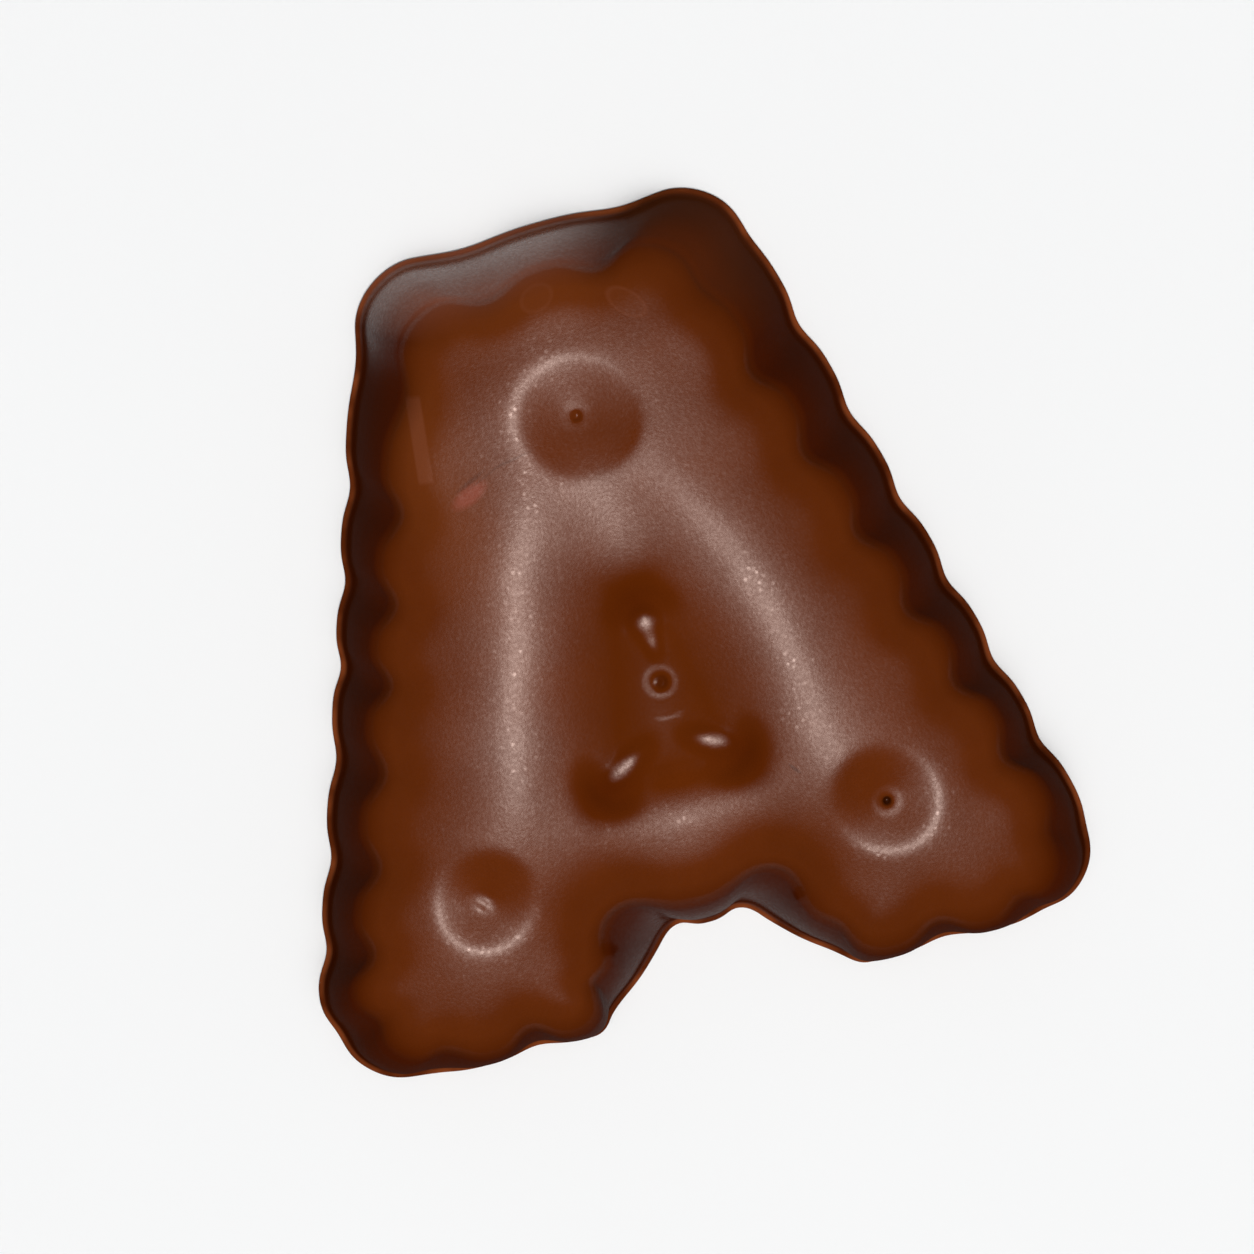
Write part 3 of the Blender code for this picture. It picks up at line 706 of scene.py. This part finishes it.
def standing_up(x, y, knobs):
    """How much each place is on something that stands up: the knobs, nubs, rims and the thin ridge."""
    share = knobs + sum(bump_height(x, y, *nub) / nub[4] for nub in NUBS)
    for cx, cy, radius, _, rim_radius, _ in PIN_HOLES:
        share += RIM_SHARE * pin_hole_height(x, y, cx, cy, radius, 0.0, rim_radius, 1.0)
    for cx, cy, radius, half_width, rise, heading, spread in CRESCENTS:
        if rise > 0:
            share += RIM_SHARE * crescent_height(x, y, cx, cy, radius, half_width, 1.0, heading, spread)
    return share


def sunken_dullness(x, y):
    """How dull the coating is in the hollow, in the pits, on the duller patches and in the dimples."""
    dull = HOLLOW_DULLNESS * smooth_step((hollow_distance(x, y) + DULL_START) / DULL_FADE)
    for cx, cy, radius, _, rise, heading, _ in CRESCENTS:
        if rise < 0:
            along, across = turned(x, y, cx, cy, heading)
            pit = smooth_step((PIT_DULL_REACH - np.hypot(along - radius, across)) / PIT_DULL_FADE)
            dull = 1 - (1 - dull) * (1 - pit)
    for *place, turn, share in DULL_PATCHES:
        dull = 1 - (1 - dull) * (1 - bump_height(x, y, *place, share, turn))
    for cx, cy, radius, _, _ in DIMPLES:
        bowl = smooth_step(DIMPLE_STEEPNESS * (1 - np.hypot(x - cx, y - cy) / radius))
        dull = np.maximum(dull, DIMPLE_DULLNESS * bowl)
    return dull


def wall_dullness(x, y):
    wall = np.full(x.shape, SIDE_DULLNESS)
    for *place, dull in GLOSSY_WALLS:
        wall += (dull - SIDE_DULLNESS) * plateau(x, y, *place)
    return wall


def dullness(x, y, z):
    """How dull the coating has dried, up to 1 where it doesn't shine at all. Below 0 it shines more."""
    knobs = np.zeros(x.shape)
    for cx, cy, half_length, half_width, *_, turn in KNOBS:
        knobs += knob_share(x, y, cx, cy, KNOB_GLINT[0] * half_length, KNOB_GLINT[1] * half_width, turn)
    dull = sunken_dullness(x, y) * smooth_step(LIFTED_STEEPNESS * (1 - standing_up(x, y, knobs)))
    dull -= KNOB_SHINE * smooth_step(knobs - KNOB_SHINE_FROM) ** 2
    for arc in CREST_ARCS:
        dull += crescent_height(x, y, *arc)
    away = distance_to_lines(x, y, SHINE_LINES)
    dull += RIDGE_CALM * np.exp(-((away - RIDGE_CALM_AWAY) / RIDGE_CALM_WIDTH) ** 2)
    dull -= LINE_SHINE * np.exp(-(away / LINE_WIDTH) ** 2)
    low = smooth_step((WALL_FADE[1] - z) / (WALL_FADE[1] - WALL_FADE[0]))
    return dull + (wall_dullness(x, y) - dull) * low


def sparkle(x, y):
    """How many fine bright points there are: most along the ridges and on the crests' shining parts."""
    share = np.exp(-(distance_to_lines(x, y, SHINE_LINES) / POINTS_WIDTH) ** 2)
    for cx, cy, radius, _, dull, heading, spread in CREST_ARCS:
        if dull < 0:
            arc = crescent_height(x, y, cx, cy, radius, POINTS_WIDTH, 1.0, heading, 2 * spread)
            share = np.maximum(share, arc)
    return POINTS_ELSEWHERE + (1 - POINTS_ELSEWHERE) * share


def wall_rings():
    """The wall's stations with smooth ones between them."""
    stations = np.array(WALL)
    padded = np.vstack((2 * stations[0] - stations[1], stations, 2 * stations[-1] - stations[-2]))
    rings = []
    for before, start, end, after in zip(padded, padded[1:], padded[2:], padded[3:]):
        for t in np.arange(RINGS_BETWEEN + 1) / (RINGS_BETWEEN + 1):
            bend = 2 * before - 5 * start + 4 * end - after
            twist = 3 * start - before - 3 * end + after
            rings.append(start + 0.5 * t * (end - before + t * (bend + t * twist)))
    rings.append(stations[-1])
    return rings


def ring_points(ring, counts, wave):
    """Places round one ring of the wall, with its flutes."""
    part, inset, _, flute = ring
    points = outline_points(inset_corners(mixed_corners(part), inset), counts)
    return points + outward(points) * (flute * wave)[:, None]


def next_ring(bm, ring):
    """Join a closed ring of vertices to a new one with faces, and return the new one in the same order."""
    new = [bm.verts.new(v.co) for v in ring]
    for a, b, c, d in zip(ring, ring[1:] + ring[:1], new[1:] + new[:1], new):
        bm.faces.new((b, c, d, a))
    return new


def cut_grid(bm, faces, low, high, step):
    """Cut the faces with planes across x and y at every step between low and high."""
    done = list(faces)
    for axis in (0, 1):
        normal = (1, 0, 0) if axis == 0 else (0, 1, 0)
        count = round((high[axis] - low[axis]) / step)
        ahead, done = done, []
        for k in range(count + 1):
            place = low[axis] + (high[axis] - low[axis]) * k / count
            # Dictionaries keep their order, which a set doesn't, so the mesh has the same order each run.
            edges = dict.fromkeys(e for f in ahead for e in f.edges)
            verts = dict.fromkeys(v for f in ahead for v in f.verts)
            cut = bmesh.ops.bisect_plane(
                bm, geom=ahead + list(edges) + list(verts), dist=SNAP_SHARE * step,
                plane_co=[c * place for c in normal], plane_no=normal)
            ahead = []
            for item in cut["geom"]:
                if isinstance(item, bmesh.types.BMFace):
                    passed = item.calc_center_median()[axis] < place
                    (done if passed else ahead).append(item)
            if not ahead:
                break
        done += ahead
    return done


def refine(bm, faces, cx, cy, half_x, half_y, step):
    """Cut a finer grid into the part of the top round a place."""
    chosen, rest = [], []
    for face in faces:
        middle = face.calc_center_median()
        near = abs(middle.x - cx) < half_x and abs(middle.y - cy) < half_y
        (chosen if near else rest).append(face)
    return rest + cut_grid(bm, chosen, (cx - half_x, cy - half_y), (cx + half_x, cy + half_y), step)


def ease_crease(bm, edge):
    """Smooth the surface along the line where the wall meets the top."""
    high = [v for v in bm.verts if v.co.z > EASE_FROM]
    places = np.array([(v.co.x, v.co.y) for v in high])
    away = np.abs(distance_inside(places[:, 0], places[:, 1], edge))
    for reach in EASE_REACHES:
        near = [v for v, distance in zip(high, away) if distance < reach]
        bmesh.ops.smooth_vert(
            bm, verts=near, factor=EASE_STRENGTH, use_axis_x=True, use_axis_y=True, use_axis_z=True)


def build_letter():
    """The letter, and the middle of its outline in the millimetres that its shape is worked out in."""
    counts = outline_counts(BASE_CORNERS, RING_SPACING)
    wave = flute_wave(outline_points(mixed_corners(0.5), counts))
    stations = wall_rings()
    rings = [ring_points(station, counts, wave) for station in stations]
    skin = Skin(rings[-1])
    bm = bmesh.new()

    bmesh.ops.create_circle(bm, cap_ends=True, radius=1.0, segments=len(wave))
    ring = list(bm.verts)
    for vert, (x, y) in zip(ring, rings[0]):
        vert.co = (x, y, 0.0)
    for station, points in zip(stations[1:], rings[1:]):
        ring = next_ring(bm, ring)
        for vert, (x, y), z in zip(ring, points, ring_height(points, station[2], skin)):
            vert.co = (x, y, z)
    top = bm.faces.new(ring)

    # The top starts flat, is cut into a grid, and is then lifted to its relief.
    faces = cut_grid(bm, [top], rings[-1].min(axis=0), rings[-1].max(axis=0), GRID_STEP)
    for window in WINDOWS:
        faces = refine(bm, faces, *window)

    top_faces = set(faces)
    verts = dict.fromkeys(v for f in faces for v in f.verts)
    inner = [v for v in verts if all(f in top_faces for f in v.link_faces)]
    places = np.array([(v.co.x, v.co.y) for v in inner])
    for vert, height in zip(inner, top_height(places[:, 0], places[:, 1], rings[-1], skin)):
        vert.co.z = height

    bmesh.ops.triangulate(bm, faces=[f for f in bm.faces if len(f.verts) > 4])
    ease_crease(bm, rings[-1])
    bmesh.ops.recalc_face_normals(bm, faces=bm.faces[:])
    low, high = np.min(rings, axis=(0, 1)), np.max(rings, axis=(0, 1))
    middle = (low + high) / 2
    bmesh.ops.translate(bm, verts=bm.verts[:], vec=(-middle[0], -middle[1], 0.0))
    bmesh.ops.scale(bm, verts=bm.verts[:], vec=(MM, MM, MM))
    mesh = bpy.data.meshes.new("coated_letter")
    bm.to_mesh(mesh)
    bm.free()
    mesh.shade_smooth()
    places = np.array([vert.co for vert in mesh.vertices]) / MM
    x, y, z = places[:, 0] + middle[0], places[:, 1] + middle[1], places[:, 2]
    mesh.attributes.new("dullness", "FLOAT", "POINT").data.foreach_set("value", dullness(x, y, z))
    mesh.attributes.new("sparkle", "FLOAT", "POINT").data.foreach_set("value", sparkle(x, y))
    letter = bpy.data.objects.new("coated_letter", mesh)
    bpy.context.collection.objects.link(letter)
    return letter, middle


def new_material(name):
    material = bpy.data.materials.new(name)
    material.use_nodes = True
    tree = material.node_tree
    return material, tree, tree.nodes["Principled BSDF"]


def add_noise(tree, coords, scale, detail, roughness):
    node = tree.nodes.new("ShaderNodeTexNoise")
    node.inputs["Scale"].default_value = scale
    node.inputs["Detail"].default_value = detail
    node.inputs["Roughness"].default_value = roughness
    tree.links.new(coords, node.inputs["Vector"])
    return node.outputs["Fac"]


def add_range(tree, value, from_low, from_high, to_low, to_high):
    node = tree.nodes.new("ShaderNodeMapRange")
    tree.links.new(value, node.inputs["Value"])
    node.inputs["From Min"].default_value = from_low
    node.inputs["From Max"].default_value = from_high
    node.inputs["To Min"].default_value = to_low
    node.inputs["To Max"].default_value = to_high
    return node.outputs["Result"]


def add_ranged_noise(tree, coords, noise, levels):
    return add_range(tree, add_noise(tree, coords, *noise), *levels)


def add_mix(tree, share, first, second):
    node = tree.nodes.new("ShaderNodeMix")
    node.data_type = "RGBA"
    tree.links.new(share, node.inputs["Factor"])
    for value, socket in ((first, node.inputs["A"]), (second, node.inputs["B"])):
        if isinstance(value, tuple):
            socket.default_value = (*value, 1.0)
        else:
            tree.links.new(value, socket)
    return node.outputs["Result"]


def add_product(tree, first, second):
    node = tree.nodes.new("ShaderNodeMath")
    node.operation = "MULTIPLY"
    tree.links.new(first, node.inputs[0])
    tree.links.new(second, node.inputs[1])
    return node.outputs["Value"]


def add_attribute(tree, name):
    node = tree.nodes.new("ShaderNodeAttribute")
    node.attribute_name = name
    return node.outputs["Fac"]


def placed(tree, millimetres, cx, cy, half_length, half_width, turn):
    """Places measured from a mark's centre, in its own half length and half width."""
    node = tree.nodes.new("ShaderNodeMapping")
    node.vector_type = "TEXTURE"
    node.inputs["Location"].default_value = (cx, cy, 0.0)
    node.inputs["Rotation"].default_value = (0.0, 0.0, math.radians(turn))
    node.inputs["Scale"].default_value = (half_length, half_width, 1.0)
    tree.links.new(millimetres, node.inputs["Vector"])
    flat = tree.nodes.new("ShaderNodeVectorMath")
    flat.operation = "MULTIPLY"
    flat.inputs[1].default_value = (1.0, 1.0, 0.0)
    tree.links.new(node.outputs["Vector"], flat.inputs[0])
    return flat.outputs["Vector"]


def mark_distance(tree, millimetres, *place):
    """Distance from a mark's centre, which is 1 at its half length and half width."""
    node = tree.nodes.new("ShaderNodeVectorMath")
    node.operation = "LENGTH"
    tree.links.new(placed(tree, millimetres, *place), node.inputs[0])
    return node.outputs["Value"]


def add_marks_and_painted_light(tree, millimetres, base):
    """Blots (some of them painted light and shade), scratches, faint rings and the pale strip, painted over
    the colour of the coating.
    """
    for *place, softness, turn, share, colour in BLOTS_AND_PAINTED_LIGHT:
        away = mark_distance(tree, millimetres, *place, turn)
        painted = add_range(tree, away, 1 - softness / 2, 1 + softness / 2, share, 0.0)
        base = add_mix(tree, painted, base, colour)
    for *place, share in FAINT_RINGS:
        away = mark_distance(tree, millimetres, *place)
        outer = add_range(tree, away, *RING_OUTSIDE, share, 0.0)
        inner = add_range(tree, away, *RING_INSIDE, RING_MIDDLE, 1.0)
        base = add_mix(tree, add_product(tree, outer, inner), base, PALE)
    *place, share = STRIP
    strip = tree.nodes.new("ShaderNodeVectorMath")
    strip.operation = "ABSOLUTE"
    tree.links.new(placed(tree, millimetres, *place), strip.inputs[0])
    away = tree.nodes.new("ShaderNodeSeparateXYZ")
    tree.links.new(strip.outputs["Vector"], away.inputs["Vector"])
    ends = add_range(tree, away.outputs["X"], *STRIP_ENDS, share, 0.0)
    sides = add_range(tree, away.outputs["Y"], *STRIP_SIDES, 1.0, 0.0)
    return add_mix(tree, add_product(tree, ends, sides), base, PALE)


def add_bump(tree, height, distance, strength):
    node = tree.nodes.new("ShaderNodeBump")
    node.inputs["Distance"].default_value = distance
    node.inputs["Strength"].default_value = strength
    tree.links.new(height, node.inputs["Height"])
    return node.outputs["Normal"]


def coating_colour(tree, coords, height, middle):
    """The coating's colour with its marks, the wall's painted shade and light, and the painted light of the
    lip round its foot.
    """
    to_millimetres = tree.nodes.new("ShaderNodeVectorMath")
    to_millimetres.operation = "MULTIPLY_ADD"
    to_millimetres.inputs[1].default_value = (1 / MM, 1 / MM, 1 / MM)
    to_millimetres.inputs[2].default_value = (middle[0], middle[1], 0.0)
    tree.links.new(coords, to_millimetres.inputs[0])
    millimetres = to_millimetres.outputs["Vector"]
    base = add_mix(tree, add_ranged_noise(tree, coords, *CLOUDS), *CLOUD_TONES)
    base = add_mix(tree, add_ranged_noise(tree, coords, *MOTTLE), base, MOTTLE_COLOUR)
    base = add_marks_and_painted_light(tree, millimetres, base)
    # Painted shade darkens the wall, with painted light and reflection round the head.
    wall = SHADED_WALL_COLOUR
    for *place, colour in PAINTED_WALL_LIGHT:
        away = mark_distance(tree, millimetres, *place)
        wall = add_mix(tree, add_range(tree, away, *PAINTED_WALL_LIGHT_EDGE, 1.0, 0.0), wall, colour)
    base = add_mix(tree, add_range(tree, height, *WALL_TOP, 1.0, 0.0), base, wall)
    # Painted light: the lip round the foot is lighter, in patches.
    patches = add_ranged_noise(tree, coords, *LIP_GLOW_PATCHES)
    lip_glow = add_product(tree, add_range(tree, height, *LIP_TOP, 1.0, 0.0), patches)
    return add_mix(tree, lip_glow, base, LIP_GLOW_COLOUR)


def bright_points(tree, coords, height):
    """How much more the coating shines in fine round points, scattered unevenly."""
    cells = tree.nodes.new("ShaderNodeTexVoronoi")
    cells.inputs["Scale"].default_value = POINT_CELLS
    tree.links.new(coords, cells.inputs["Vector"])
    chance = tree.nodes.new("ShaderNodeSeparateColor")
    tree.links.new(cells.outputs["Color"], chance.inputs["Color"])
    strength = add_range(tree, chance.outputs["Red"], *POINT_STRENGTHS)
    strength = add_product(tree, strength, add_ranged_noise(tree, coords, *POINT_GROUPS))
    strength = add_product(tree, strength, add_range(tree, height, *POINTS_ABOVE))
    strength = add_product(tree, strength, add_attribute(tree, "sparkle"))
    points = add_product(tree, add_range(tree, cells.outputs["Distance"], *POINT_EDGE), strength)
    return add_range(tree, points, *POINT_GLOSS)


def coating_gloss(tree, coords, height):
    """How much the coating shines where it hasn't dried dull, with its specks and bright points."""
    gloss = add_range(tree, add_attribute(tree, "dullness"), *GLOSS_LEVELS)
    gloss = add_product(tree, gloss, add_ranged_noise(tree, coords, *SPECKS))
    return add_product(tree, gloss, bright_points(tree, coords, height))


def chocolate_coating(middle):
    material, tree, shader = new_material("chocolate_coating")
    coords = tree.nodes.new("ShaderNodeTexCoord").outputs["Object"]
    directions = tree.nodes.new("ShaderNodeSeparateXYZ")
    tree.links.new(coords, directions.inputs["Vector"])
    height = directions.outputs["Z"]
    tree.links.new(coating_colour(tree, coords, height, middle), shader.inputs["Base Color"])
    shader.inputs["Roughness"].default_value = CHOCOLATE_ROUGHNESS
    shader.inputs["Specular IOR Level"].default_value = 0.0
    tree.links.new(coating_gloss(tree, coords, height), shader.inputs["Coat Weight"])
    shader.inputs["Coat Roughness"].default_value = GLOSS_ROUGHNESS
    shader.inputs["Coat IOR"].default_value = GLOSS_IOR
    normal = add_bump(tree, add_noise(tree, coords, *GRAIN), *GRAIN_BUMP)
    tree.links.new(normal, shader.inputs["Normal"])
    tree.links.new(normal, shader.inputs["Coat Normal"])
    return material


def floor_finish():
    material, tree, shader = new_material("pale_floor")
    coords = tree.nodes.new("ShaderNodeTexCoord").outputs["Object"]
    colour = add_mix(tree, add_noise(tree, coords, *FLOOR_NOISE), *FLOOR_TONES)
    tree.links.new(colour, shader.inputs["Base Color"])
    shader.inputs["Roughness"].default_value = FLOOR_ROUGHNESS
    return material


def add_floor():
    bm = bmesh.new()
    bmesh.ops.create_grid(bm, x_segments=4, y_segments=4, size=FLOOR_SIZE)
    mesh = bpy.data.meshes.new("floor")
    bm.to_mesh(mesh)
    bm.free()
    floor = bpy.data.objects.new("floor", mesh)
    floor.data.materials.append(floor_finish())
    bpy.context.collection.objects.link(floor)


def add_lights():
    """One soft round lamp above the letter, in layers that make it brightest in its middle."""
    heading = Vector(LAMP_TARGET) - Vector(LAMP_PLACE)
    for number, (size, power) in enumerate(LAMP_LAYERS):
        data = bpy.data.lights.new(f"lamp_{number}", "AREA")
        data.shape = "DISK"
        data.size = size
        data.energy = power
        data.color = LAMP_COLOUR
        light = bpy.data.objects.new(data.name, data)
        light.location = LAMP_PLACE
        light.rotation_euler = heading.to_track_quat("-Z", "Y").to_euler()
        bpy.context.collection.objects.link(light)
    world = bpy.data.worlds.new("studio")
    world.use_nodes = True
    around = world.node_tree.nodes["Background"]
    around.inputs["Color"].default_value = AROUND_COLOUR
    around.inputs["Strength"].default_value = AROUND_STRENGTH
    bpy.context.scene.world = world


def add_camera():
    data = bpy.data.cameras.new("camera")
    data.sensor_width = SENSOR
    data.lens = SENSOR * VIEW_DISTANCE / VIEW_WIDTH
    data.clip_end = VIEW_END
    camera = bpy.data.objects.new("camera", data)
    back = Vector((0.0, math.sin(VIEW_LEAN), math.cos(VIEW_LEAN)))
    letter_up = Vector((0.0, math.cos(VIEW_LEAN), -math.sin(VIEW_LEAN)))
    right = Vector((math.cos(VIEW_TURN), 0.0, 0.0)) - letter_up * math.sin(VIEW_TURN)
    up = back.cross(right)
    rotation = Matrix((right, up, back)).transposed().to_4x4()
    camera.matrix_world = Matrix.Translation(VIEW_TARGET + back * VIEW_DISTANCE) @ rotation
    bpy.context.collection.objects.link(camera)
    bpy.context.scene.camera = camera


letter, middle = build_letter()
letter.data.materials.append(chocolate_coating(middle))
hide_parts(NODE)
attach(letter, "root")
add_floor()
add_lights()
add_camera()
bpy.context.scene.view_settings.view_transform = "Standard"
print("coated_letter faces:", len(letter.data.polygons))
